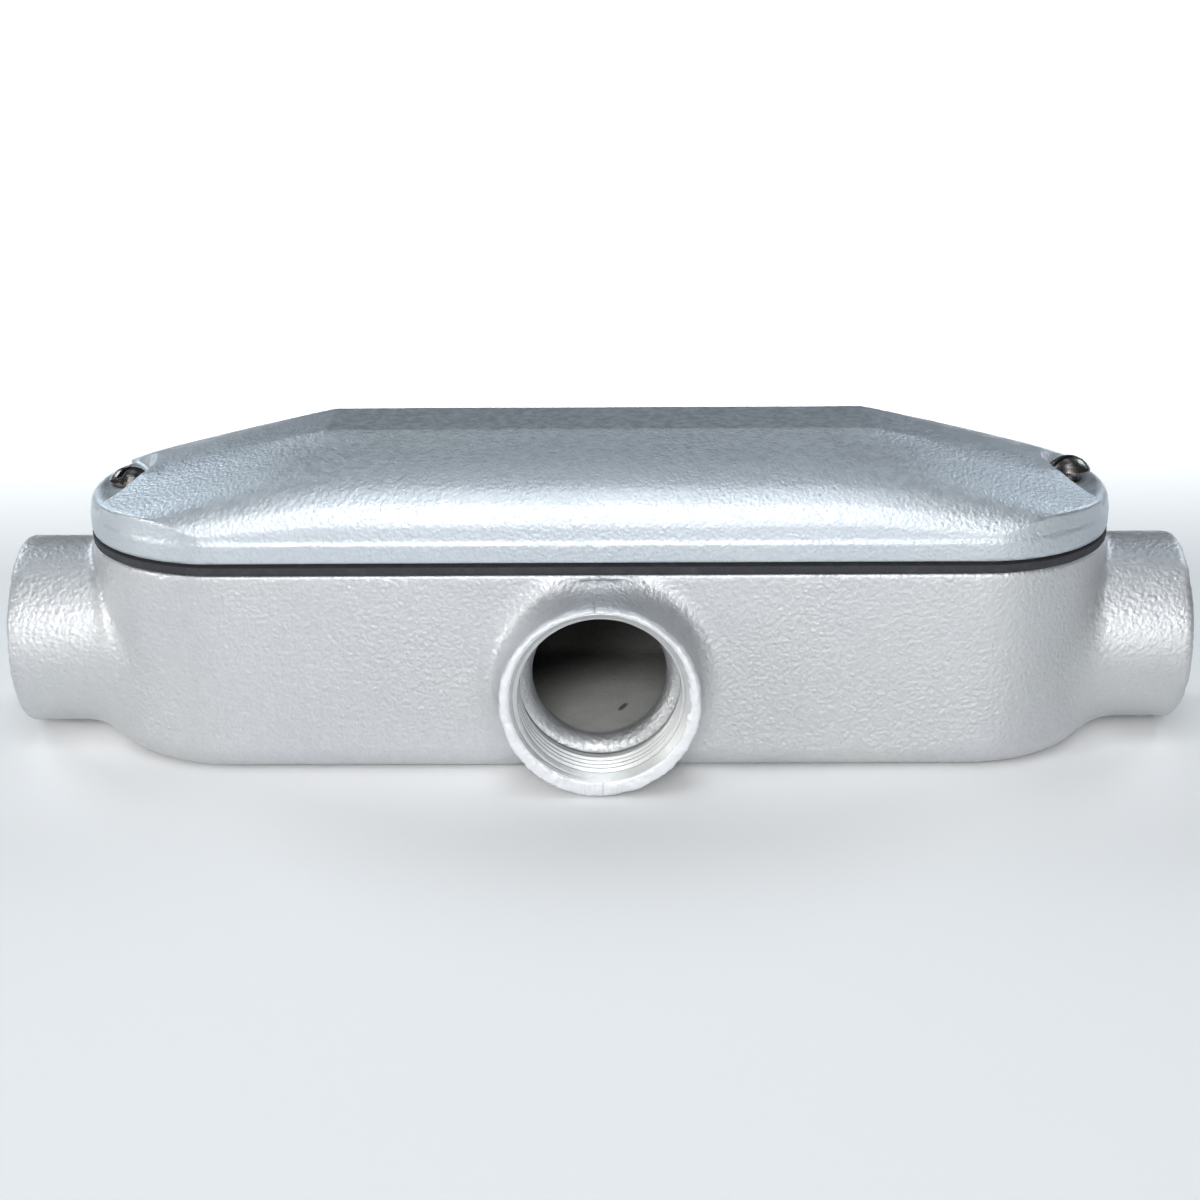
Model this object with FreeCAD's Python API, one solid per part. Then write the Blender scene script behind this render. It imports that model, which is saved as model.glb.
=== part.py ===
import FreeCAD, Part
import math, os
from FreeCAD import Vector as V

# Mogul T conduit body, 1-1/2 in trade size.  Millimetres.
# Origin: centre of the flat bottom of the body, below the point where the
# hub axes cross.  +X and -X are the run hubs, -Y the side hub, +Z the cover.

os.makedirs("parts", exist_ok=True)

# ---------------------------------------------------------------- dimensions
AXIS_Z = 27.8            # height of the hub collars' axes over the flat bottom
HALF_LEN = 146.2         # half length of body, gasket and cover
HALF_WID = 42.8          # half width, also the end radius of the round ends
FLANGE_Z = 59.0          # machined top face of the body
WALL = 4.0               # body wall
FLOOR = 4.2              # body floor
LAND = 6.6               # width of the sealing land
BOTTOM_R = 7.4           # outside radius along the bottom edge

HUB_R = 27.4             # outside radius of each hub
RUN_FACE = 168.4         # hub axis crossing to the face of each run hub
SIDE_FACE = 59.5         # hub axis crossing to the face of the side hub
RUN_RIM_R = 1.8          # rounding of the outer edge of the run hub faces
SIDE_RIM_R = 1.0         # and of the side hub face
HUB_BLEND = 3.3          # fillet where a hub leaves the wall
BORE_R = 24.0            # wall of the conduit socket (root of the 1-1/2 NPT thread)
MOUTH_R = 25.1           # lead-in at the hub face
SIDE_BORE_UP = 1.5       # the side socket sits this far above its collar's centre
SOCKET_DEPTH = 15.0      # hub face to the shoulder of the bushing
BUSH_R = 5.1             # cross-section radius of the integral bushing
THROAT_R = 18.65         # clear radius of the bushing throat
BUSH_DEPTH = 20.6        # hub face to the middle of the bushing

GASKET_T = 3.3           # gasket thickness, squeezed
COVER_Z = FLANGE_Z + GASKET_T
RIM_Z = 67.9             # top of the vertical rim of the cover
RIM_STEP = 0.3           # the dome stands in from the rim by this much
CROWN_Z = 91.3           # level strip along the crown, 22.9 wide
CROWN_HALF_L = 76.2      # half length of the level part of the strip
DRAFT = 3.0              # degrees, round end walls of the cover

SCREW_X = 135.1          # cover screws, on the long centre line
LEDGE_Z = 73.0           # level land round each screw
LEDGE_EDGE_R = 3.8
POCKET_X = 158.3         # axis of the curved step above the land
POCKET_R = 28.4          # its radius at the land
POCKET_FLARE = 0.36      # and how much it opens with height
SEAT_Z = 72.7            # spot-face under the screw head
RIGHT_PROUD = 2.1        # the right-hand screw is not driven home
SEAT_R = 7.3
BOSS_R = 7.4             # screw bosses in the body and under the cover
BOSS_Z = 46.8            # underside of the body bosses
COVER_HOLE_R = 3.6
TAPPED_R = 3.20

HEAD_R = 6.0             # 1/4 in round head, slotted
HEAD_H = 4.6
SHANK_R = 3.12
SHANK_LEN = 22.2
SLOT_W = 1.7
SLOT_D = 2.5


# ---------------------------------------------------------------- helpers
def stadium_wire(half_len, half_wid, z):
    """Straight-sided outline with round ends, centred on the origin."""
    c = half_len - half_wid
    r = half_wid
    edges = [
        Part.makeLine(V(-c, -r, z), V(c, -r, z)),
        Part.Arc(V(c, -r, z), V(c + r, 0, z), V(c, r, z)).toShape(),
        Part.makeLine(V(c, r, z), V(-c, r, z)),
        Part.Arc(V(-c, r, z), V(-c - r, 0, z), V(-c, -r, z)).toShape(),
    ]
    return Part.Wire(edges)


def stadium(half_len, half_wid, z0, z1):
    return Part.Face(stadium_wire(half_len, half_wid, z0)).extrude(V(0, 0, z1 - z0))


def stadium_draft(half_len, half_wid, z0, z1, degrees):
    """The same outline leaning inward as it rises."""
    d = (z1 - z0) * math.tan(math.radians(degrees))
    return Part.makeLoft([stadium_wire(half_len, half_wid, z0),
                          stadium_wire(half_len - d, half_wid - d, z1)], True, True)


def revolve(points, centre, axis, radial):
    """Solid of revolution.  points are edges' vertices (distance along axis,
    radius) or ('arc', mid, end) entries."""
    def at(p):
        return centre + axis * p[0] + radial * p[1]
    edges = []
    cur = points[0]
    for p in points[1:]:
        if p[0] == "arc":
            edges.append(Part.Arc(at(cur), at(p[1]), at(p[2])).toShape())
            cur = p[2]
        else:
            edges.append(Part.makeLine(at(cur), at(p)))
            cur = p
    edges.append(Part.makeLine(at(cur), at(points[0])))
    face = Part.Face(Part.Wire(edges))
    return face.revolve(centre, axis, 360)


def fillet_where(shape, radius, test):
    """Round every edge whose sample points all satisfy test."""
    picked = []
    for e in shape.Edges:
        pts = e.discretize(5)
        if all(test(p) for p in pts):
            picked.append(e)
    return shape.makeFillet(radius, picked)


# hub face, inward direction, height of the socket over the collar's centre
HUBS = (
    (V(RUN_FACE, 0, AXIS_Z), V(-1, 0, 0), 0.0),
    (V(-RUN_FACE, 0, AXIS_Z), V(1, 0, 0), 0.0),
    (V(0, -SIDE_FACE, AXIS_Z), V(0, 1, 0), SIDE_BORE_UP),
)


# ---------------------------------------------------------------- body casting
tub = stadium(HALF_LEN, HALF_WID, 0, FLANGE_Z)
tub = fillet_where(tub, BOTTOM_R, lambda p: abs(p.z) < 1e-6)

outer = tub
for face, inward, up in HUBS:
    reach = 50.0 if abs(inward.x) > 0.5 else 25.0
    outer = outer.fuse(Part.makeCylinder(HUB_R, reach, face, inward))
outer = outer.removeSplitter()


def blend_edge(shape, radius):
    """Concave edges where the hubs leave the walls."""
    picked = []
    for e in shape.Edges:
        pts = e.discretize(7)
        on_run = all(abs(math.hypot(p.y, p.z - AXIS_Z) - HUB_R) < 0.02
                     and abs(p.x) < RUN_FACE - 1 and abs(p.x) > 120 for p in pts)
        on_side = all(abs(math.hypot(p.x, p.z - AXIS_Z) - HUB_R) < 0.02
                      and -SIDE_FACE + 1 < p.y < 0 for p in pts)
        straight = isinstance(e.Curve, Part.Line)
        if (on_run or on_side) and not straight:
            picked.append(e)
    return shape.makeFillet(radius, picked)


outer = blend_edge(outer, HUB_BLEND)
outer = fillet_where(outer, RUN_RIM_R, lambda p: abs(abs(p.x) - RUN_FACE) < 1e-4)
outer = fillet_where(outer, SIDE_RIM_R, lambda p: abs(p.y + SIDE_FACE) < 1e-4)
outer = fillet_where(outer, 0.45, lambda p: abs(p.z - FLANGE_Z) < 1e-6)

# wiring chamber, left open at the top
chamber = stadium(HALF_LEN - WALL, HALF_WID - WALL, FLOOR, FLANGE_Z + 1)
chamber = fillet_where(chamber, 4.0, lambda p: abs(p.z - FLOOR) < 1e-6)
# sealing land: the wall thickens to the full land width under the gasket
ring = stadium(HALF_LEN, HALF_WID, FLANGE_Z - 8.0, FLANGE_Z + 2)
way = Part.makeLoft([
    stadium_wire(HALF_LEN - WALL, HALF_WID - WALL, FLANGE_Z - 8.0),
    stadium_wire(HALF_LEN - LAND, HALF_WID - LAND, FLANGE_Z - 3.5)], True, True)
way = way.fuse(stadium(HALF_LEN - LAND, HALF_WID - LAND, FLANGE_Z - 3.5, FLANGE_Z + 2))
chamber = chamber.cut(ring.cut(way))
for sx in (1, -1):
    boss = Part.makeCylinder(BOSS_R, 40, V(sx * SCREW_X, 0, BOSS_Z))
    web = Part.makeBox(HALF_LEN - SCREW_X, 2 * BOSS_R - 3.0, 40,
                       V(sx * SCREW_X if sx > 0 else -HALF_LEN, -BOSS_R + 1.5, BOSS_Z))
    chamber = chamber.cut(boss).cut(web)
# ring of metal that carries the side bushing inside the wall
side_ring = Part.makeCylinder(27.6, 12, V(0, -SIDE_FACE + 13, AXIS_Z + SIDE_BORE_UP / 2), V(0, 1, 0))
side_ring = fillet_where(side_ring, 3.0, lambda p: abs(p.y - (-SIDE_FACE + 25)) < 1e-4)
chamber = chamber.cut(side_ring)

# conduit sockets: lead-in, thread wall, shoulder, rounded bushing, throat
c_r = THROAT_R + BUSH_R
k = math.sqrt(0.5)
sockets = None
for face, inward, up in HUBS:
    radial = V(0, 0, 1)
    centre = face + radial * up
    prof = [
        (-1.0, 0.0), (-1.0, MOUTH_R), (0.0, MOUTH_R),
        (MOUTH_R - BORE_R, BORE_R), (SOCKET_DEPTH, BORE_R),
        (BUSH_DEPTH - BUSH_R, c_r),
        ("arc", (BUSH_DEPTH - BUSH_R * k, c_r - BUSH_R * k), (BUSH_DEPTH, THROAT_R)),
        ("arc", (BUSH_DEPTH + BUSH_R * k, c_r - BUSH_R * k), (BUSH_DEPTH + BUSH_R, c_r)),
        (BUSH_DEPTH + (24.0 if abs(inward.x) > 0.5 else 9.0), c_r),
        (BUSH_DEPTH + (24.0 if abs(inward.x) > 0.5 else 9.0), 0.0),
    ]
    sockets = revolve(prof, centre, inward, radial) if sockets is None \
        else sockets.fuse(revolve(prof, centre, inward, radial))
# the bosses stay whole above the run sockets
for sx in (1, -1):
    sockets = sockets.cut(Part.makeCylinder(BOSS_R, 40, V(sx * SCREW_X, 0, BOSS_Z)))

body = outer.cut(chamber).cut(sockets)
for sx in (1, -1):
    body = body.cut(Part.makeCylinder(TAPPED_R, 40, V(sx * SCREW_X, 0, BOSS_Z - 5)))
    body = body.cut(Part.makeCone(TAPPED_R + 0.5, TAPPED_R, 0.5,
                                  V(sx * SCREW_X, 0, FLANGE_Z), V(0, 0, -1)))

# ---------------------------------------------------------------- gasket
gasket = stadium(HALF_LEN, HALF_WID, FLANGE_Z, COVER_Z)
opening = stadium(HALF_LEN - LAND, HALF_WID - LAND, FLANGE_Z - 1, COVER_Z + 1)
for sx in (1, -1):
    opening = opening.cut(Part.makeCylinder(BOSS_R, 10, V(sx * SCREW_X, 0, FLANGE_Z - 2)))
    opening = opening.cut(Part.makeBox(HALF_LEN - SCREW_X, 2 * BOSS_R - 3.0, 10,
                                       V(sx * SCREW_X if sx > 0 else -HALF_LEN,
                                         -BOSS_R + 1.5, FLANGE_Z - 2)))
gasket = gasket.cut(opening)
for sx in (1, -1):
    gasket = gasket.cut(Part.makeCylinder(COVER_HOLE_R, 10, V(sx * SCREW_X, 0, FLANGE_Z - 2)))


# ---------------------------------------------------------------- cover
# half sections across the dome: in the middle (crown strip, sloping roof,
# rounded shoulder, steep foot) and at the far ends, where it has flattened out.
# Between them the roof falls in a slight outward curve.
SECTION_MID = [(11.45, 91.3), (18.5, 89.2), (26.0, 87.0), (31.1, 85.1), (34.7, 83.25),
               (37.5, 81.3), (39.4, 79.1), (40.7, 76.7), (41.9, 73.0), (42.4, 67.9)]
SECTION_END = [(11.45, 71.8), (18.5, 70.3), (26.0, 69.0), (31.1, 68.3), (34.7, 67.9),
               (37.5, 67.7), (39.4, 67.4), (40.7, 67.1), (41.9, 66.8), (42.4, 65.9)]
ROOF_CURVE = [1.4, 1.4, 1.4, 1.4, 1.25, 0.95, 0.6, 0.3, 0.1, 0.0]
END_X = 150.1


def dome(mid, end, half_l, x_end, foot_z):
    """Dome over the rim: one section along the level middle, then a curved
    fall from it to the end section."""

    def side(x, section, sign):
        n = len(section) - 1
        pts = [V(x, sign * y, z) for y, z in section]
        par = [i / n for i in range(n + 1)]
        sp = Part.BSplineCurve()
        sp.interpolate(Points=pts, Parameters=par,
                       InitialTangent=(pts[1] - pts[0]) * n,
                       FinalTangent=(pts[-1] - pts[-2]) * n)
        return sp.toShape()

    def wire(x, section):
        a, b = section[0], section[-1]
        corners = [V(x, b[0], b[1]), V(x, b[0], foot_z), V(x, -b[0], foot_z), V(x, -b[0], b[1])]
        return Part.Wire([
            Part.makeLine(V(x, -a[0], a[1]), V(x, a[0], a[1])),
            side(x, section, 1),
            Part.makeLine(corners[0], corners[1]),
            Part.makeLine(corners[1], corners[2]),
            Part.makeLine(corners[2], corners[3]),
            side(x, section, -1)])

    middle = Part.Face(wire(-half_l, mid)).extrude(V(2 * half_l, 0, 0))
    between = [(a[0], (a[1] + b[1]) / 2 + c) for a, b, c in zip(mid, end, ROOF_CURVE)]
    end_r = Part.makeLoft([wire(half_l, mid), wire((half_l + x_end) / 2, between),
                           wire(x_end, end)], True, False)
    end_l = end_r.mirror(V(0, 0, 0), V(1, 0, 0))
    return middle.fuse(end_r).fuse(end_l)


shell = dome(SECTION_MID, SECTION_END, CROWN_HALF_L, END_X, COVER_Z)
walls = stadium_draft(HALF_LEN - RIM_STEP, HALF_WID - RIM_STEP, RIM_Z, CROWN_Z + 2, DRAFT)
shell = shell.common(walls)


def flared(x, z0, extra):
    """Solid above z0 that the step round a screw is cut to: a cylinder up to
    the land, then a cone."""
    r = POCKET_R + extra
    low = Part.makeCylinder(r, LEDGE_Z - z0, V(x, 0, z0))
    high = Part.makeCone(r, r + 20 * POCKET_FLARE, 20, V(x, 0, LEDGE_Z))
    return low.fuse(high)


for sx in (1, -1):
    shell = shell.cut(flared(sx * POCKET_X, RIM_Z, 0.0))

land = stadium_draft(HALF_LEN - RIM_STEP, HALF_WID - RIM_STEP, RIM_Z, LEDGE_Z, DRAFT)
land = fillet_where(land, LEDGE_EDGE_R, lambda p: abs(p.z - LEDGE_Z) < 1e-6)
keep = None
for sx in (1, -1):
    piece = Part.makeCylinder(POCKET_R + 3.0, 40, V(sx * POCKET_X, 0, RIM_Z - 5))
    keep = piece if keep is None else keep.fuse(piece)
land = land.common(keep)

rim = stadium(HALF_LEN, HALF_WID, COVER_Z, RIM_Z)
rim = fillet_where(rim, 0.18, lambda p: abs(p.z - RIM_Z) < 1e-6)
rim = fillet_where(rim, 0.5, lambda p: abs(p.z - COVER_Z) < 1e-6)

cover = rim.fuse(shell).fuse(land)

# hollow underneath
inner_mid = [(9.6, 87.7), (16.9, 85.7), (24.4, 83.5), (29.0, 81.8), (32.0, 80.2),
             (34.2, 78.6), (35.8, 76.9), (37.0, 74.9), (38.0, 71.6), (38.5, 67.9)]
inner_end = [(9.6, 68.2), (16.9, 66.8), (24.4, 65.5), (29.0, 64.9), (32.0, 64.6),
             (34.2, 64.4), (35.8, 64.1), (37.0, 63.8), (38.0, 63.5), (38.5, 62.7)]
hollow = dome(inner_mid, inner_end, CROWN_HALF_L - 1.5, END_X, COVER_Z + 0.2)
hollow = hollow.common(stadium(HALF_LEN - WALL - 1.2, HALF_WID - WALL - 1.2, RIM_Z - 1, CROWN_Z))
for sx in (1, -1):
    hollow = hollow.cut(flared(sx * POCKET_X, RIM_Z - 5, 4.0))
under = Part.makeLoft([
    stadium_wire(HALF_LEN - LAND, HALF_WID - LAND, COVER_Z - 1),
    stadium_wire(HALF_LEN - WALL - 0.2, HALF_WID - WALL - 0.2, RIM_Z)], True, True)
deep = Part.makeCylinder(POCKET_R + 4.0, 40, V(POCKET_X, 0, COVER_Z + 4.2)).fuse(
    Part.makeCylinder(POCKET_R + 4.0, 40, V(-POCKET_X, 0, COVER_Z + 4.2)))
under = under.cut(deep)
hollow = hollow.fuse(under)
for sx in (1, -1):
    hollow = hollow.cut(Part.makeCylinder(BOSS_R, 40, V(sx * SCREW_X, 0, COVER_Z - 5)))
    hollow = hollow.cut(Part.makeBox(HALF_LEN - SCREW_X, 2 * BOSS_R - 3.0, 10,
                                     V(sx * SCREW_X if sx > 0 else -HALF_LEN,
                                       -BOSS_R + 1.5, COVER_Z - 5)))
cover = cover.cut(hollow)
for sx in (1, -1):
    cover = cover.cut(Part.makeCylinder(SEAT_R, 20, V(sx * SCREW_X, 0, SEAT_Z)))
    cover = cover.cut(Part.makeCylinder(COVER_HOLE_R, 40, V(sx * SCREW_X, 0, COVER_Z - 5)))
cover = cover.removeSplitter()


# ---------------------------------------------------------------- cover screws
def screw(x, slot_deg, proud):
    base = V(x, 0, SEAT_Z + proud)
    skirt = 1.1
    # round head: short skirt, domed crown
    rise = HEAD_H - skirt
    rad = (HEAD_R ** 2 + rise ** 2) / (2 * rise)
    half = math.asin(HEAD_R / rad) / 2
    mid = (skirt + rise - rad + rad * math.cos(half), rad * math.sin(half))
    head = revolve([(0.0, 0.0), (0.0, HEAD_R - 0.3), (0.3, HEAD_R), (skirt, HEAD_R),
                    ("arc", mid, (HEAD_H, 0.0))], base, V(0, 0, 1), V(1, 0, 0))
    shank = revolve([(0.0, 0.0), (0.0, SHANK_R), (-SHANK_LEN + 1.0, SHANK_R),
                     (-SHANK_LEN, SHANK_R - 1.0), (-SHANK_LEN, 0.0)],
                    base, V(0, 0, 1), V(1, 0, 0))
    slot = Part.makeBox(20, SLOT_W, SLOT_D + 2, V(x - 10, -SLOT_W / 2, base.z + HEAD_H - SLOT_D))
    slot.rotate(base, V(0, 0, 1), slot_deg)
    return head.fuse(shank).removeSplitter().cut(slot)


nodes = {
    "body_casting": body,
    "gasket": gasket,
    "cover": cover,
    "cover_screw_left": screw(-SCREW_X, 62, 0.0),
    "cover_screw_right": screw(SCREW_X, 21, RIGHT_PROUD),
}
for name, shape in nodes.items():
    if shape.ShapeType == "Compound" and len(shape.Solids) == 1:
        shape = shape.Solids[0]
    bb = shape.BoundBox
    print(name, "solids", len(shape.Solids), "valid", shape.isValid(),
          "vol %.1f" % shape.Volume,
          "x %.2f..%.2f y %.2f..%.2f z %.2f..%.2f" % (bb.XMin, bb.XMax, bb.YMin, bb.YMax, bb.ZMin, bb.ZMax))
    shape.exportStep("parts/%s.step" % name)
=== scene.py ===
import math
import bpy
import numpy as np
from mathutils import Matrix, Vector


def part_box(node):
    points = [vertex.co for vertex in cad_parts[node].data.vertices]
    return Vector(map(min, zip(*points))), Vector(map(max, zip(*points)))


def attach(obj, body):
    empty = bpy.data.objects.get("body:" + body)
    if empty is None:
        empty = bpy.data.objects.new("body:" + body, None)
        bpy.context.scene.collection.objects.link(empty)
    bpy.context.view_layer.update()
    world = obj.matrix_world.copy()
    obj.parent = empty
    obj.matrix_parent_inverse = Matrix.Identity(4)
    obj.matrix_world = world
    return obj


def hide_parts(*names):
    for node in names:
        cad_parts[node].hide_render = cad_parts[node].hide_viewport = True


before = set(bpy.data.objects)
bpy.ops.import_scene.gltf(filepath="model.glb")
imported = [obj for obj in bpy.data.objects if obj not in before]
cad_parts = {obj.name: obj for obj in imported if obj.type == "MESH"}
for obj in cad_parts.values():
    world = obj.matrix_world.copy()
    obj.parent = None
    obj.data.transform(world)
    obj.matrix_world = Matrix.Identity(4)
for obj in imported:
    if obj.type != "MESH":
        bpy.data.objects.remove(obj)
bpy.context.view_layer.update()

# Looks of a mogul T conduit body: sand-cast aluminium under silver lacquer, a
# black rubber gasket, dark slotted screws.  Metres, in the frame of the CAD.

MM = 0.001
scene = bpy.context.scene

# ---------------------------------------------------------------- dimensions
AXIS_Z = 27.8
RUN_FACE = 168.4
SIDE_FACE = 59.5
HUB_R = 27.4
HALF_LEN = 146.2
HALF_WID = 42.8
FLANGE_Z = 59.0
COVER_Z = 62.3
RIM_Z = 67.9
LAND = 6.6
ROOF_KINK = 76.2
SCREW_X = 135.1
SEAT_Z = 72.7
BOTTOM_R = 7.4
BOSS_R = 7.4
BORE_R = 24.0
MOUTH_R = 25.1
SIDE_BORE_UP = 1.5
SOCKET_DEPTH = 15.0
PITCH = 25.4 / 11.5
FLECK = (7.1, -6.4)          # smear on the chamber floor
HUBS = {
    "right": (np.array([RUN_FACE, 0.0, AXIS_Z]), np.array([-1.0, 0.0, 0.0])),
    "left": (np.array([-RUN_FACE, 0.0, AXIS_Z]), np.array([1.0, 0.0, 0.0])),
    "side": (np.array([0.0, -SIDE_FACE, AXIS_Z]), np.array([0.0, 1.0, 0.0])),
}


# ---------------------------------------------------------------- mesh helpers
def lattice(P, size, seed):
    """Smooth 3-D value noise in -1..1 at points P, features about `size` apart."""
    n = 32
    table = np.random.default_rng(seed).random((n, n, n)) * 2 - 1
    q = P / size + 1000.37
    i = np.floor(q).astype(np.int64)
    t = q - i
    t = t * t * t * (t * (t * 6 - 15) + 10)
    i &= n - 1
    j = (i + 1) & (n - 1)
    out = np.zeros(len(P))
    for a in (0, 1):
        xa = j[:, 0] if a else i[:, 0]
        wa = t[:, 0] if a else 1 - t[:, 0]
        for b in (0, 1):
            yb = j[:, 1] if b else i[:, 1]
            wb = t[:, 1] if b else 1 - t[:, 1]
            for c in (0, 1):
                zc = j[:, 2] if c else i[:, 2]
                wc = t[:, 2] if c else 1 - t[:, 2]
                out += wa * wb * wc * table[xa, yb, zc]
    return out


def fade(x, a, b):
    """0 below a, 1 above b, smooth between."""
    t = np.clip((x - a) / (b - a), 0, 1)
    return t * t * (3 - 2 * t)


def link(o):
    scene.collection.objects.link(o)
    return o


def coords(me):
    co = np.zeros(len(me.vertices) * 3, np.float32)
    me.vertices.foreach_get("co", co)
    return co.reshape(-1, 3).astype(float) / MM


def normals(me):
    nn = np.zeros(len(me.vertices) * 3, np.float32)
    me.vertex_normals.foreach_get("vector", nn)
    return nn.reshape(-1, 3).astype(float)


def store(me, P):
    me.vertices.foreach_set("co", (P * MM).astype(np.float32).ravel())
    me.update()


def evaluated(o):
    dg = bpy.context.evaluated_depsgraph_get()
    me = bpy.data.meshes.new_from_object(o.evaluated_get(dg))
    bpy.data.objects.remove(o)
    return me


def recast(node, voxel, smooth):
    """Fine, softly rounded mesh of a CAD node's solid."""
    o = link(bpy.data.objects.new("tmp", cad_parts[node].data.copy()))
    m = o.modifiers.new("voxels", "REMESH")
    m.mode = "VOXEL"
    m.voxel_size = voxel * MM
    s = o.modifiers.new("soften", "SMOOTH")
    s.factor = 0.5
    s.iterations = smooth
    return evaluated(o)


def thin_out(me, faces, keep=None):
    """Collapse to about `faces` triangles; vertices with a high `keep` weight
    hold their detail longer."""
    o = link(bpy.data.objects.new("tmp", me))
    m = o.modifiers.new("thin", "DECIMATE")
    m.ratio = min(1.0, faces / (2.0 * len(me.polygons)))
    if keep is not None:
        g = o.vertex_groups.new(name="keep")
        levels = np.round(np.clip(keep, 0, 1) * 8) / 8
        for v in np.unique(levels):
            g.add(np.nonzero(levels == v)[0].tolist(), float(v), "REPLACE")
        m.vertex_group = "keep"
        m.invert_vertex_group = True
        m.vertex_group_factor = 1.0
    return evaluated(o)


def soften(me, mask, times):
    """Even out the surface where `mask` is set."""
    o = link(bpy.data.objects.new("tmp", me))
    g = o.vertex_groups.new(name="soft")
    g.add(np.nonzero(mask)[0].tolist(), 1.0, "REPLACE")
    m = o.modifiers.new("soften", "SMOOTH")
    m.factor = 0.5
    m.iterations = times
    m.vertex_group = "soft"
    return evaluated(o)


def trim(me, node):
    """Put the few vertices that thinning pushed past the CAD box back on it."""
    store(me, clip_to(coords(me), node))
    return me


def clip_to(P, node):
    lo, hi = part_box(node)
    return np.clip(P, np.array(lo) / MM, np.array(hi) / MM)


def piece(name, me, body, node, mat):
    me.name = name
    me.materials.clear()
    me.materials.append(mat)
    me.polygons.foreach_set("use_smooth", np.ones(len(me.polygons), bool))
    me.update()
    o = link(bpy.data.objects.new(name, me))
    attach(o, body)
    if node:
        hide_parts(node)
    return o


def grid_mesh(name, P, wrap_u=True, wrap_v=True, flip=False):
    """Quads over an (nu, nv, 3) array of points."""
    nu, nv = P.shape[:2]
    u = np.arange(nu if wrap_u else nu - 1)
    v = np.arange(nv if wrap_v else nv - 1)
    U, W = np.meshgrid(u, v, indexing="ij")
    U2, W2 = (U + 1) % nu, (W + 1) % nv
    f = np.stack([U * nv + W, U2 * nv + W, U2 * nv + W2, U * nv + W2], -1).reshape(-1, 4)
    if flip:
        f = f[:, ::-1]
    me = bpy.data.meshes.new(name)
    me.from_pydata((P.reshape(-1, 3) * MM).tolist(), [], f.tolist())
    me.update()
    return me


def stadium_distance(P, half_len=HALF_LEN, half_wid=HALF_WID):
    """Distance outside (+) or inside (-) the stadium outline, in plan."""
    dx = np.maximum(0, np.abs(P[:, 0]) - (half_len - half_wid))
    return np.hypot(dx, P[:, 1]) - half_wid


# ---------------------------------------------------------------- materials
class Nodes:
    """Small builder for a node material."""

    def __init__(self, name):
        self.mat = bpy.data.materials.new(name)
        self.mat.use_nodes = True
        self.t = self.mat.node_tree
        self.t.nodes.clear()
        self.out = self.t.nodes.new("ShaderNodeOutputMaterial")
        self.b = self.t.nodes.new("ShaderNodeBsdfPrincipled")
        self.t.links.new(self.b.outputs[0], self.out.inputs[0])
        self.co = self.t.nodes.new("ShaderNodeTexCoord").outputs["Object"]

    def link(self, a, b):
        self.t.links.new(a, b)

    def put(self, sock, v):
        if isinstance(v, bpy.types.NodeSocket):
            self.t.links.new(v, sock)
        else:
            sock.default_value = v

    def math(self, op, a, b=0.0, c=None, clamp=False):
        n = self.t.nodes.new("ShaderNodeMath")
        n.operation = op
        n.use_clamp = clamp
        self.put(n.inputs[0], a)
        self.put(n.inputs[1], b)
        if c is not None:
            self.put(n.inputs[2], c)
        return n.outputs[0]

    def noise(self, scale, detail=2.0, rough=0.5, distortion=0.0, co=None, kind=None):
        n = self.t.nodes.new("ShaderNodeTexNoise")
        if kind:
            n.noise_type = kind
        self.link(co or self.co, n.inputs["Vector"])
        n.inputs["Scale"].default_value = scale
        n.inputs["Detail"].default_value = detail
        n.inputs["Roughness"].default_value = rough
        n.inputs["Distortion"].default_value = distortion
        return n.outputs["Fac"]

    def voronoi(self, scale, feature="F1", rand=1.0, smooth=None, co=None):
        n = self.t.nodes.new("ShaderNodeTexVoronoi")
        n.feature = feature
        self.link(co or self.co, n.inputs["Vector"])
        n.inputs["Scale"].default_value = scale
        n.inputs["Randomness"].default_value = rand
        if smooth is not None:
            n.inputs["Smoothness"].default_value = smooth
        return n.outputs["Distance"]

    def span(self, v, a, b, lo=0.0, hi=1.0, smooth=True):
        n = self.t.nodes.new("ShaderNodeMapRange")
        n.interpolation_type = "SMOOTHSTEP" if smooth else "LINEAR"
        self.put(n.inputs["Value"], v)
        n.inputs["From Min"].default_value = a
        n.inputs["From Max"].default_value = b
        n.inputs["To Min"].default_value = lo
        n.inputs["To Max"].default_value = hi
        return n.outputs["Result"]

    def mix(self, fac, a, b, blend="MIX"):
        n = self.t.nodes.new("ShaderNodeMix")
        n.data_type = "RGBA"
        n.blend_type = blend
        self.put(n.inputs[0], fac)
        self.put(n.inputs[6], a)
        self.put(n.inputs[7], b)
        return n.outputs[2]

    def xyz(self):
        n = self.t.nodes.new("ShaderNodeSeparateXYZ")
        self.link(self.co, n.inputs[0])
        return n.outputs

    def scaled(self, x, y, z):
        n = self.t.nodes.new("ShaderNodeMapping")
        self.link(self.co, n.inputs["Vector"])
        n.inputs["Scale"].default_value = (x, y, z)
        return n.outputs[0]

    def bump(self, height, distance, strength=1.0, after=None):
        n = self.t.nodes.new("ShaderNodeBump")
        n.inputs["Strength"].default_value = strength
        n.inputs["Distance"].default_value = distance
        self.link(height, n.inputs["Height"])
        if after is not None:
            self.link(after, n.inputs["Normal"])
        return n.outputs[0]


def rgb(r, g, b):
    return (r, g, b, 1.0)


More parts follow.
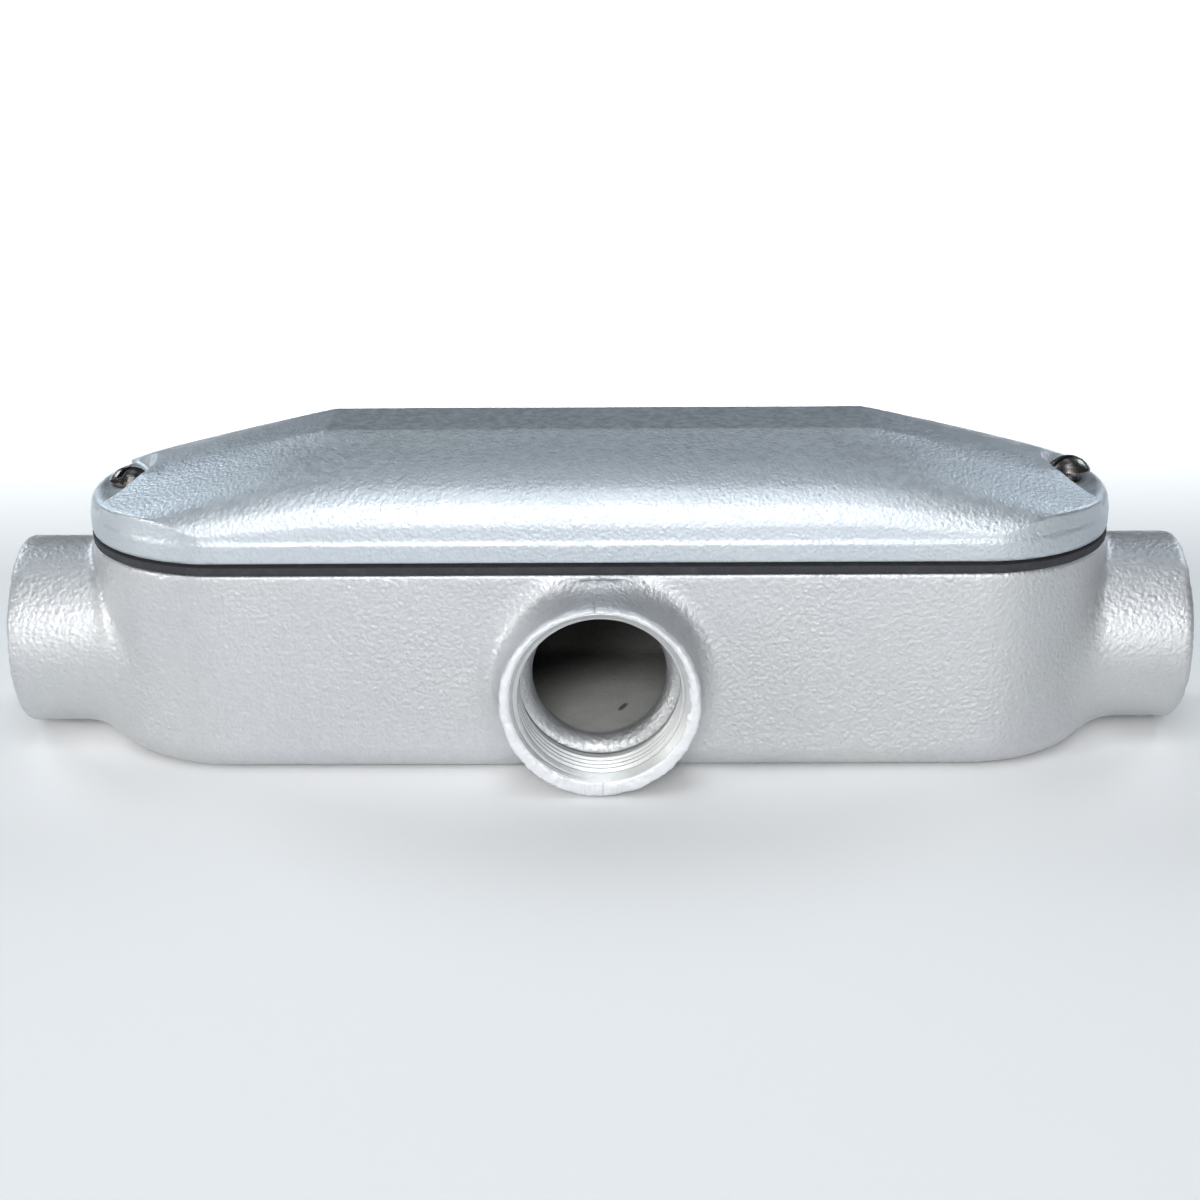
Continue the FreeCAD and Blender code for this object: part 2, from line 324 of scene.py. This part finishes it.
def silver(name, tint, peel_mm, gloss, peel=0.40, inside=False, root_shade=False):
    """Silver lacquer over a sand casting: orange peel, sand grain, a few pits
    and nibs, slightly uneven aluminium flake."""
    n = Nodes(name)
    x, y, z = n.xyz()
    cloud = n.noise(26, 3, 0.55)
    flake = n.noise(2400, 2, 0.6)
    mottle = n.noise(420, 3, 0.6)
    col = n.mix(n.span(cloud, 0.3, 0.7, 0, 0.5), rgb(*tint), rgb(*(c * 0.93 for c in tint)))
    col = n.mix(n.span(mottle, 0.35, 0.7, 0, 0.35), col, rgb(*(min(1, c * 1.14) for c in tint)))
    col = n.mix(n.span(flake, 0.42, 0.72, 0, 0.40), col, rgb(*(c * 0.78 for c in tint)))
    # warm and cool drifts of the flake
    col = n.mix(n.span(n.noise(17, 2, 0.5), 0.4, 0.7, 0, 0.35), col,
                rgb(tint[0] * 1.01, tint[1] * 1.02, tint[2] * 0.95))
    # sparse pits where the lacquer did not close
    pits = n.voronoi(150, "F1", 1.0)
    choose = n.noise(70, 1, 0.4)
    pit = n.math("MULTIPLY", n.span(pits, 0.03, 0.09, 1, 0), n.span(choose, 0.68, 0.72))
    col = n.mix(pit, col, rgb(*(c * 0.60 for c in tint)))
    # grime held low in the peel
    col = n.mix(n.span(n.noise(9, 4, 0.6), 0.55, 0.8, 0, 0.12), col, rgb(0.40, 0.41, 0.40))
    rough = n.math("ADD", n.span(mottle, 0.3, 0.7, gloss - 0.04, gloss + 0.06),
                   n.span(flake, 0.3, 0.8, -0.04, 0.05))
    metal = 0.75
    if root_shade:
        # painted shade: a dark helical band in the thread roots near the mouth, stronger towards -x
        turn = n.math("ARCTAN2", x, n.math("SUBTRACT", z, (AXIS_Z + SIDE_BORE_UP) * MM))
        phase = n.math("SUBTRACT", n.math("DIVIDE", n.math("ADD", y, SIDE_FACE * MM), PITCH * MM),
                       n.math("DIVIDE", turn, 2 * math.pi))
        f = n.math("ABSOLUTE", n.math("SUBTRACT", n.math("FRACT", n.math("ADD", phase, 0.5)), 0.5))
        root = n.math("MULTIPLY", n.span(f, 0.05, 0.15, 1, 0), n.span(x, 16 * MM, -6 * MM, 0.25, 0.8))
        root = n.math("MULTIPLY", root, n.span(y, -(SIDE_FACE - 1.6) * MM, -(SIDE_FACE - 2.6) * MM))
        col = n.mix(root, col, rgb(0.16, 0.16, 0.17))
    if inside:
        # distance in plan from the long axis, and distance from the side hub's axis
        q = n.math("SUBTRACT", n.math("ABSOLUTE", x), (HALF_LEN - HALF_WID) * MM)
        q = n.math("MAXIMUM", q, 0.0)
        d = n.math("SQRT", n.math("ADD", n.math("MULTIPLY", q, q), n.math("MULTIPLY", y, y)))
        edge = n.math("SUBTRACT", d, n.span(y, 0, 6 * MM, (HALF_WID - 4.8) * MM, (HALF_WID - 2.8) * MM))
        deep = n.math("MULTIPLY", n.span(edge, 0, 1.3 * MM, 1, 0),
                      n.span(z, 3.0 * MM, 3.8 * MM))
        # painted light and shade in the chamber: a pale lit patch low on the floor towards +x and the side
        # mouth, fading to near black towards -x, the back and upwards
        t = n.math("SUBTRACT", n.math("MULTIPLY", x, 0.6), n.math("MULTIPLY", y, 0.8))
        reach = n.math("MULTIPLY", n.span(t, -34 * MM, 8 * MM), n.span(z, 6 * MM, 22 * MM, 1, 0.05))
        chamber_painted_shadow = n.mix(n.span(n.noise(60, 4, 0.6), 0.3, 0.7), rgb(0.030, 0.030, 0.028),
                     rgb(0.045, 0.045, 0.041))
        chamber_painted_light = n.mix(n.span(n.noise(95, 4, 0.65), 0.3, 0.7), rgb(0.80, 0.80, 0.765),
                      rgb(0.90, 0.90, 0.87))
        chamber_light_and_shade = n.mix(reach, chamber_painted_shadow, chamber_painted_light)
        # a dark smear on the chamber floor
        u = n.math("ADD", n.math("MULTIPLY", n.math("SUBTRACT", x, FLECK[0] * MM), 0.40),
                   n.math("MULTIPLY", n.math("SUBTRACT", y, FLECK[1] * MM), 0.92))
        v = n.math("SUBTRACT", n.math("MULTIPLY", n.math("SUBTRACT", x, FLECK[0] * MM), 0.92),
                   n.math("MULTIPLY", n.math("SUBTRACT", y, FLECK[1] * MM), 0.40))
        wob = n.math("MULTIPLY", n.math("SUBTRACT", n.noise(700, 3, 0.6), 0.5), 1.5 * MM)
        v = n.math("ADD", v, wob)
        e = n.math("ADD", n.math("POWER", n.math("ABSOLUTE", n.math("DIVIDE", u, 3.4 * MM)), 2.0),
                   n.math("POWER", n.math("ABSOLUTE", n.math("DIVIDE", v, 1.0 * MM)), 2.0))
        chamber_light_and_shade = n.mix(n.span(e, 0.2, 1.3, 0.8, 0), chamber_light_and_shade, rgb(0.10, 0.09, 0.06))
        col = n.mix(deep, col, chamber_light_and_shade)
        rough = n.math("ADD", rough, n.math("MULTIPLY", deep, 0.30))
        # parting line of the side hub, with painted shade darkening its groove
        near = n.math("MULTIPLY", n.span(y, -(SIDE_FACE - 9) * MM, -(SIDE_FACE - 4) * MM),
                      n.math("SUBTRACT", 1.0, deep))
        at = n.span(z, (AXIS_Z - 1) * MM, (AXIS_Z + 1) * MM, 0.8 * MM, -1.4 * MM)
        off = n.math("ABSOLUTE", n.math("SUBTRACT", x, at))
        groove_shade = n.math("MULTIPLY", n.span(off, 0.05 * MM, 0.42 * MM, 1, 0), near)
        groove_shade = n.math("MULTIPLY", groove_shade, n.span(n.noise(260, 3, 0.6), 0.35, 0.55, 0.25, 1))
        col = n.mix(n.math("MULTIPLY", groove_shade, 0.55), col, rgb(0.22, 0.22, 0.23))
        # the ground face of the side hub is the brightest and dullest part
        ring = n.span(y, -(SIDE_FACE - 3.4) * MM, -(SIDE_FACE - 1.6) * MM)
        col = n.mix(n.math("MULTIPLY", ring, n.math("SUBTRACT", 0.85, n.math("MULTIPLY", groove_shade, 0.45))),
                    col, rgb(0.82, 0.835, 0.86))
        lines = n.noise(1500, 2, 0.6, co=n.scaled(1, 1, 0.12))
        low = n.math("MULTIPLY", ring, n.span(z, 6 * MM, 2 * MM))
        col = n.mix(n.math("MULTIPLY", low, n.span(lines, 0.50, 0.62, 0, 0.35)), col, rgb(0.62, 0.64, 0.68))
        m1 = n.math("MAXIMUM", deep, n.math("MULTIPLY", ring, 0.6))
        n.put(n.b.inputs["Metallic"], n.span(m1, 0, 1, metal, 0.0, smooth=False))
    else:
        n.b.inputs["Metallic"].default_value = metal
    n.put(n.b.inputs["Base Color"], col)
    n.put(n.b.inputs["Roughness"], rough)
    # orange peel: rounded lumps, dimples between them, finer ripple, a few nibs
    lumps = n.noise(1000.0 / (peel_mm * 1.9), 1.0, 0.40)
    cells = n.voronoi(1000.0 / (peel_mm * 1.7), "F1", 1.0)
    fine = n.noise(1000.0 / (peel_mm * 0.55), 2.0, 0.5)
    nib = n.span(n.voronoi(1000.0 / (peel_mm * 3.4), "F1", 1.0), 0.10, 0.26, 1, 0)
    area = n.span(n.noise(30, 1, 0.4), 0.3, 0.7, 0.7, 1.15)
    height = n.math("ADD", n.math("MULTIPLY", lumps, 0.60),
                    n.math("ADD", n.math("MULTIPLY", cells, -0.34), n.math("MULTIPLY", fine, 0.20)))
    height = n.math("ADD", height, n.math("MULTIPLY", nib, 0.16))
    height = n.math("SUBTRACT", n.math("MULTIPLY", height, area), n.math("MULTIPLY", pit, 0.2))
    n.put(n.b.inputs["Normal"], n.bump(height, peel * MM, 1.0))
    return n.mat


def rubber():
    n = Nodes("black_rubber")
    dust = n.noise(240, 4, 0.65)
    streak = n.noise(60, 3, 0.6, co=n.scaled(0.25, 0.25, 3.0))
    col = n.mix(n.span(dust, 0.4, 0.75, 0, 0.5), rgb(0.030, 0.031, 0.037), rgb(0.078, 0.080, 0.088))
    col = n.mix(n.span(streak, 0.45, 0.75, 0, 0.5), col, rgb(0.052, 0.054, 0.060))
    x, y, z = n.xyz()
    # painted shade: the top band of the gasket, just under the cover, darkened to near black
    col = n.mix(n.span(z, (COVER_Z - 1.15) * MM, (COVER_Z - 0.8) * MM, 0, 0.85), col, rgb(0.006, 0.006, 0.007))
    n.put(n.b.inputs["Base Color"], col)
    n.put(n.b.inputs["Roughness"], n.span(dust, 0.3, 0.7, 0.62, 0.86))
    n.b.inputs["Specular IOR Level"].default_value = 0.35
    cut = n.noise(900, 3, 0.6, co=n.scaled(1, 1, 0.25))
    n.put(n.b.inputs["Normal"], n.bump(cut, 0.10 * MM, 1.0, n.bump(dust, 0.12 * MM)))
    return n.mat


def screw_steel():
    n = Nodes("dark_steel")
    turn = n.noise(700, 3, 0.55, co=n.scaled(1, 1, 5))
    stain = n.noise(330, 4, 0.62)
    col = n.mix(n.span(stain, 0.42, 0.68), rgb(0.20, 0.185, 0.175), rgb(0.09, 0.082, 0.078))
    col = n.mix(n.span(n.noise(1500, 2, 0.6), 0.55, 0.8, 0, 0.5), col, rgb(0.32, 0.30, 0.29))
    n.put(n.b.inputs["Base Color"], col)
    n.b.inputs["Metallic"].default_value = 0.95
    n.put(n.b.inputs["Roughness"], n.span(stain, 0.35, 0.7, 0.20, 0.42))
    n.put(n.b.inputs["Normal"], n.bump(turn, 0.03 * MM, 1.0, n.bump(stain, 0.08 * MM)))
    return n.mat


LACQUER_BODY = silver("silver_lacquer_body", (0.61, 0.62, 0.64), 0.75, 0.47, 0.32, True)
LACQUER_COVER = silver("silver_lacquer_cover", (0.57, 0.612, 0.655), 0.65, 0.46, 0.20)
LACQUER_THREAD = silver("silver_lacquer_thread", (0.72, 0.73, 0.74), 0.8, 0.50, 0.03)
LACQUER_SIDE_THREAD = silver("silver_lacquer_side_thread", (0.72, 0.73, 0.74), 0.8, 0.50, 0.03, root_shade=True)
RUBBER = rubber()
STEEL = screw_steel()


# ---------------------------------------------------------------- body casting
def tub_distance(P):
    """Signed distance of the box outside, with its rounded bottom edge."""
    q = stadium_distance(P)
    a, b = q + BOTTOM_R, BOTTOM_R - P[:, 2]
    return np.where((a > 0) & (b > 0), np.hypot(a, b), np.maximum(a, b)) - BOTTOM_R


def run_distance(P):
    return np.hypot(P[:, 1], P[:, 2] - AXIS_Z) - HUB_R


def side_distance(P):
    return np.hypot(P[:, 0], P[:, 2] - AXIS_Z) - HUB_R


def run_width(P):
    return 1.0 + 6.5 * (1 - fade(P[:, 2], 24.0, 55.0)) * fade(np.abs(P[:, 0]), 106.0, 124.0)


def side_width(P):
    return 8.5 + 0.0 * P[:, 0]


def soft_union(P, hub, width):
    """Signed distance of box and hub run into each other by a blend."""
    a, b, k = tub_distance(P), hub(P), width(P)
    h = np.maximum(k - np.abs(a - b), 0) / k
    return np.minimum(a, b) - h * h * k / 4


def blend(P, pick, hub, width, ease):
    """Move the outside of the casting out to the blend between box and hub."""
    skin = np.minimum(tub_distance(P), hub(P)) > -1.3
    where = np.nonzero(skin & pick & (P[:, 2] < FLANGE_Z - 1.0) & (P[:, 2] > 0.05))[0]
    X = P[where].copy()
    for _ in range(5):
        f = soft_union(X, hub, width)
        g = np.zeros_like(X)
        for c in range(3):
            e = np.zeros(3)
            e[c] = 0.05
            g[:, c] = (soft_union(X + e, hub, width) - soft_union(X - e, hub, width)) / 0.1
        size = np.maximum((g * g).sum(1), 0.25)
        X -= g * (f / size)[:, None]
    step = X - P[where]
    far = np.linalg.norm(step, axis=1)
    step *= (ease[where] * np.minimum(1, 7.0 / np.maximum(far, 1e-6)))[:, None]
    P = P.copy()
    P[where] += step
    return P


def blend_hubs(P):
    x = np.abs(P[:, 0])
    P = blend(P, (x > 110) & (x < RUN_FACE - 2.5), run_distance, run_width,
              1 - fade(x, RUN_FACE - 9, RUN_FACE - 3))
    s = P[:, 1] + SIDE_FACE
    return blend(P, (np.abs(P[:, 0]) < 46) & (P[:, 1] < -40.5) & (s > 2.5), side_distance, side_width,
                 fade(s, 2.5, 6.5) * (1 - fade(np.abs(P[:, 0]), 40.0, 45.5)))


def hub_frame(P, hub, socket=False):
    """(depth from the hub face, radius from its axis, angle) of points."""
    face, inward = HUBS[hub]
    if socket and hub == "side":
        face = face + [0, 0, SIDE_BORE_UP]
    d = P - face
    s = d @ inward
    up = np.array([0.0, 0.0, 1.0])
    side = np.cross(inward, up)
    a, b = d @ side, d @ up
    return s, np.hypot(a, b), np.arctan2(b, a)


def seam_x(z):
    return np.where(z > AXIS_Z, -1.4, 0.8)


def build_body():
    me = recast("body_casting", 0.55, 3)
    before = coords(me)
    after = blend_hubs(before)
    store(me, after)
    me = soften(me, np.linalg.norm(after - before, axis=1) > 0.01, 24)
    P, N = coords(me), normals(me)
    wave = 0.07 * lattice(P, 30.0, 3) + 0.014 * lattice(P, 9.0, 4) + 0.012 * lattice(P, 2.6, 5)
    calm = fade(P[:, 2], FLANGE_Z - 1.4, FLANGE_Z - 0.2)      # machined joint face
    move = wave * (1 - calm) - 0.05
    for hub in HUBS:
        s, r, a = hub_frame(P, hub)
        near = fade(r, 22.9, 23.9) * (1 - fade(r, 28.2, 29.5)) * (1 - fade(s, 1.5, 3.8)) * fade(s, -1, -0.5)
        size = 0.8 if hub == "side" else 0.45
        lumps = size * (0.20 * lattice(P, 2.6, 11) + 0.26 * lattice(P, 1.35, 12))
        near = near if hub != "side" else np.maximum(near, fade(r, 25.5, 26.5) * (1 - fade(s, 2.6, 5.0)) * (1 - fade(r, 28.2, 29.5)) * fade(s, -1, -0.5))
        move += near * (lumps - 0.05)
        s, r, a = hub_frame(P, hub, True)
        wall = (1 - fade(r, 24.3, 24.8)) * fade(s, 1.0, 2.0) * (1 - fade(s, 14.0, 15.0))
        move *= 1 - wall
    # parting line of the side hub, a narrow groove that does not quite meet
    # itself above and below the mouth
    s, r, a = hub_frame(P, "side")
    seam = np.exp(-((P[:, 0] - seam_x(P[:, 2])) / 0.42) ** 2)
    move -= 0.26 * seam * (1 - fade(s, 12.0, 18.0)) * fade(s, -1, -0.5) * fade(r, 19.0, 20.0) * (1 - fade(r, 29, 31))
    P = P + N * move[:, None]
    store(me, clip_to(P, "body_casting"))
    outside = fade(stadium_distance(P), -3.6, -2.6)
    s, r, a = hub_frame(P, "side")
    keep = np.clip(0.35 + 0.45 * outside, 0, 1)
    keep = np.where((r < 29.5) & (s < 27) & (s > -1), 1.0, keep)
    keep = np.where((P[:, 2] < 3.0), np.minimum(keep, 0.5), keep)
    me = trim(thin_out(me, 190000, keep), "body_casting")
    return piece("body_casting_sand_cast", me, "body", "body_casting", LACQUER_BODY)


# ---------------------------------------------------------------- cover
def build_cover():
    me = recast("cover", 0.46, 3)
    P, N = coords(me), normals(me)
    wave = 0.06 * lattice(P, 32.0, 23) + 0.012 * lattice(P, 9.0, 24) + 0.010 * lattice(P, 2.6, 25)
    calm = 1 - fade(P[:, 2], COVER_Z + 0.2, COVER_Z + 1.2)
    P = P + N * (wave * (1 - calm) - 0.04)[:, None]
    y = np.abs(P[:, 1])
    drop = np.interp(y, [11.45, 18.5, 26.0, 31.1, 34.7, 37.5, 39.4, 40.7, 42.4],
                     [19.5, 18.9, 18.0, 16.8, 15.35, 13.6, 11.7, 9.6, 2.0])
    reach = 17.0
    t = np.clip(reach - np.abs(np.abs(P[:, 0]) - ROOF_KINK), 0, None)
    skin = fade(N[:, 2] + 0.5 * N[:, 1] * np.sign(P[:, 1]), 0.0, 0.25) * fade(P[:, 2], RIM_Z + 0.5, RIM_Z + 5)
    P[:, 2] -= 0.0093 * drop * t * t / (4 * reach) * skin * fade(y, 11.5, 19.0)
    # and the strip's edges fade into the roof out there
    t = np.clip(7.5 - np.abs(y - 11.45), 0, None)
    P[:, 2] -= 0.26 * t * t / 30.0 * skin * fade(np.abs(P[:, 0]), 80.0, 100.0) * (1 - fade(np.abs(P[:, 0]), 122.0, 128.0))
    store(me, clip_to(P, "cover"))
    up = fade(N[:, 2], -0.35, 0.0)
    keep = 0.3 + 0.6 * up
    me = trim(thin_out(me, 190000, keep), "cover")
    return piece("cover_sand_cast", me, "cover", "cover", LACQUER_COVER)


# ---------------------------------------------------------------- gasket
def build_gasket():
    me = recast("gasket", 0.33, 1)
    P, N = coords(me), normals(me)
    d = stadium_distance(P)
    out = fade(d, -1.6, -0.2)
    level = (P[:, 2] - FLANGE_Z) / (COVER_Z - FLANGE_Z)
    along = P.copy()
    along[:, 2] *= 0.3
    set_in = 0.10 + 0.60 * fade(level, 0.66, 0.9) + 0.12 * fade(-level, -0.18, 0.0)
    ragged = 0.10 * lattice(along, 9.0, 31) + 0.06 * lattice(along, 2.2, 32)
    horizontal = N.copy()
    horizontal[:, 2] = 0
    length = np.maximum(np.linalg.norm(horizontal, axis=1), 1e-6)
    push = -(set_in + ragged) * out * fade(length, 0.2, 0.6)
    P = P + horizontal / length[:, None] * push[:, None]
    store(me, clip_to(P, "gasket"))
    me = trim(thin_out(me, 90000), "gasket")
    return piece("gasket_rubber", me, "body", "gasket", RUBBER)


# ---------------------------------------------------------------- conduit threads
def build_thread(hub, nu, step):
    """Right-hand 11.5 turns per inch taper thread cut in a socket: a thin
    sleeve whose inner face carries the thread, painted over."""
    face, inward = HUBS[hub]
    up = np.array([0.0, 0.0, 1.0])
    if hub == "side":
        face = face + up * SIDE_BORE_UP
    th = np.arange(nu) * 2 * math.pi / nu
    s = np.arange(0.42, SOCKET_DEPTH - 0.1, step)
    T, S = np.meshgrid(th, s, indexing="ij")
    # angle measured right-handed about the inward axis
    phase = S / PITCH - T / (2 * math.pi)
    saw = np.abs((phase % 1.0) * 2 - 1)              # 1 at the root line, 0 at the crest line
    ridge = 1 - np.clip((saw - 0.06) / 0.86, 0, 1)   # 1 on the crest, 0 in the root, with small flats
    depth = 1.62 * (1 - fade(S, 12.2, 14.4))
    root = BORE_R - 0.10 - S / 32.0
    R = root - depth * ridge
    R = np.where(S > 12.2, np.minimum(R, root - 1.1 * fade(S, 12.2, 14.6)), R)
    # paint has filled the roots unevenly
    pts = np.stack([T * 22, S, R * 0 + 5], -1).reshape(-1, 3)
    R = R + 0.03 * lattice(pts, 1.6, 41).reshape(R.shape) + 0.015 * lattice(pts, 0.6, 42).reshape(R.shape)
    cone = MOUTH_R - 0.07 - S                         # lead-in cuts the first turns
    R = np.maximum(R, cone)
    inner = face + inward * S[..., None] + R[..., None] * (
        np.cos(T)[..., None] * up + np.sin(T)[..., None] * np.cross(inward, up))
    # outer skin, buried in the casting
    Ro = np.maximum(BORE_R + 0.35, R + 0.25)
    outer = face + inward * np.clip(S, 0.62, 14.6)[..., None] + Ro[..., None] * (
        np.cos(T)[..., None] * up + np.sin(T)[..., None] * np.cross(inward, up))
    both = np.concatenate([inner, outer[:, ::-1][:, ::6]], 1)
    me = grid_mesh("thread", both, True, True)
    return piece("conduit_thread_" + hub, me, "body", None,
                 LACQUER_SIDE_THREAD if hub == "side" else LACQUER_THREAD)


# ---------------------------------------------------------------- cover screws
def build_screw(node, body, name, sign, proud):
    me = recast(node, 0.085, 2)
    P, N = coords(me), normals(me)
    lo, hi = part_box(node)
    cx = sign * SCREW_X
    top = hi[2] / MM
    under_head = SEAT_Z + proud
    r = np.hypot(P[:, 0] - cx, P[:, 1])
    a = np.arctan2(P[:, 1], P[:, 0] - cx)
    # rolled 20 turns per inch thread on the shank
    z = P[:, 2]
    saw = np.abs(((z / 1.27 - a / (2 * math.pi)) % 1.0) * 2 - 1)
    on = (1 - fade(z, under_head - 3.2, under_head - 2.2)) * fade(r, 2.2, 2.9)
    head = fade(z, under_head - 0.1, under_head + 0.3)
    move = -0.62 * saw * on + head * (0.035 * lattice(P, 1.5, 51) + 0.02 * lattice(P, 0.5, 52) - 0.03)
    P = P + N * move[:, None]
    store(me, clip_to(P, node))
    me = trim(thin_out(me, 60000), node)
    return piece(name, me, body, node, STEEL)


build_body()
build_cover()
build_gasket()
build_thread("side", 300, 0.12)
build_thread("right", 200, 0.18)
build_thread("left", 200, 0.18)
build_screw("cover_screw_left", "screw_left", "cover_screw_left_slotted", -1, 0.0)
build_screw("cover_screw_right", "screw_right", "cover_screw_right_slotted", 1, 2.1)


# ---------------------------------------------------------------- floor and light
def floor_material():
    n = Nodes("studio_floor")
    n.put(n.b.inputs["Base Color"], n.mix(n.noise(3, 2, 0.5), rgb(0.93, 0.93, 0.93), rgb(0.95, 0.95, 0.95)))
    n.b.inputs["Roughness"].default_value = 0.7
    n.b.inputs["Specular IOR Level"].default_value = 0.2
    return n.mat


def build_stage():
    """Level white table top under the object."""
    steps = [-7.0, -3.0, -1.2, -0.5, 0.0, 0.5, 1.2, 3.0, 7.0]
    P = np.array([[(x, y, -0.0003) for y in steps] for x in steps]) / MM
    me = grid_mesh("table_top", P, False, False)
    me.materials.append(floor_material())
    o = link(bpy.data.objects.new("table_top", me))


def area(name, at, aim, size, power, colour=(1, 1, 1), size_y=None):
    d = bpy.data.lights.new(name, "AREA")
    d.shape = "RECTANGLE"
    d.size = size
    d.size_y = size_y or size
    d.energy = power
    d.color = colour
    o = link(bpy.data.objects.new(name, d))
    o.location = at
    o.rotation_mode = "QUATERNION"
    o.rotation_quaternion = (Vector(aim) - Vector(at)).to_track_quat("-Z", "Y")
    return o


build_stage()
AIM = (0, 0, 0.045)


def soft_box(name, az, el, energy, size=0.8, colour=(1, 1, 1), far=2.3):
    a, e = math.radians(az), math.radians(el)
    at = (math.sin(a) * math.cos(e) * far, -math.cos(a) * math.cos(e) * far,
          math.sin(e) * far + AIM[2])
    return area(name, at, AIM, size, energy, colour)


soft_box("key_left", -62, 13, 14, 0.6, (1.0, 0.99, 0.97))
soft_box("front_low_left", -8, 9, 3.0, 0.8)
soft_box("front_mouth", -4, 27, 20, 0.7)
soft_box("front_high", 0, 52, 8.0, 0.9, (0.97, 0.99, 1.0))
soft_box("front_low_right", 20, 9, 7.5, 0.8, (0.98, 0.99, 1.0))
soft_box("overhead", 0, 77, 8.5, 0.8, (0.88, 0.95, 1.0))
soft_box("back_high", 180, 64, 1.6, 0.7, (0.78, 0.90, 1.0))
soft_box("back_left", -128, 34, 14, 0.9, (0.82, 0.92, 1.0))
soft_box("back_right", 128, 34, 11, 0.9, (0.82, 0.92, 1.0))

# lights the table behind the object only
area("backdrop", (0, 1.1, 1.5), (0, 3.4, 0), 1.6, 170, (1, 1, 1))

world = bpy.data.worlds.new("studio")
scene.world = world
world.use_nodes = True
world.node_tree.nodes["Background"].inputs[0].default_value = (0.78, 0.86, 1.0, 1)
world.node_tree.nodes["Background"].inputs[1].default_value = 0.04

# ---------------------------------------------------------------- camera
AZ, EL = math.radians(-0.2325), math.radians(21.4193)
DIST = 586.454
YAW, ROLL = math.radians(0.6284), math.radians(0.1404)
FOCAL = 1976.75
target = Vector((0, 0, AXIS_Z * MM))
back = Vector((math.sin(AZ) * math.cos(EL), -math.cos(AZ) * math.cos(EL), math.sin(EL)))
look = -back
right = look.cross(Vector((0, 0, 1))).normalized()
upv = right.cross(look)
turn = Matrix.Rotation(YAW, 3, upv)
look, right = turn @ look, turn @ right
turn = Matrix.Rotation(ROLL, 3, look)
right, upv = turn @ right, turn @ upv
camera = bpy.data.cameras.new("photo_view")
cam = link(bpy.data.objects.new("photo_view", camera))
m = Matrix((right, upv, -look)).transposed().to_4x4()
m.translation = target + back * (DIST * MM)
cam.matrix_world = m
camera.sensor_width = 36.0
camera.lens = FOCAL / 1200 * 36.0
camera.shift_x = 22.73 / 1200
camera.shift_y = 24.99 / 1200
camera.clip_start = 0.01
camera.clip_end = 50
scene.camera = cam
scene.view_settings.view_transform = "Standard"
scene.view_settings.look = "None"
scene.view_settings.exposure = 0.0
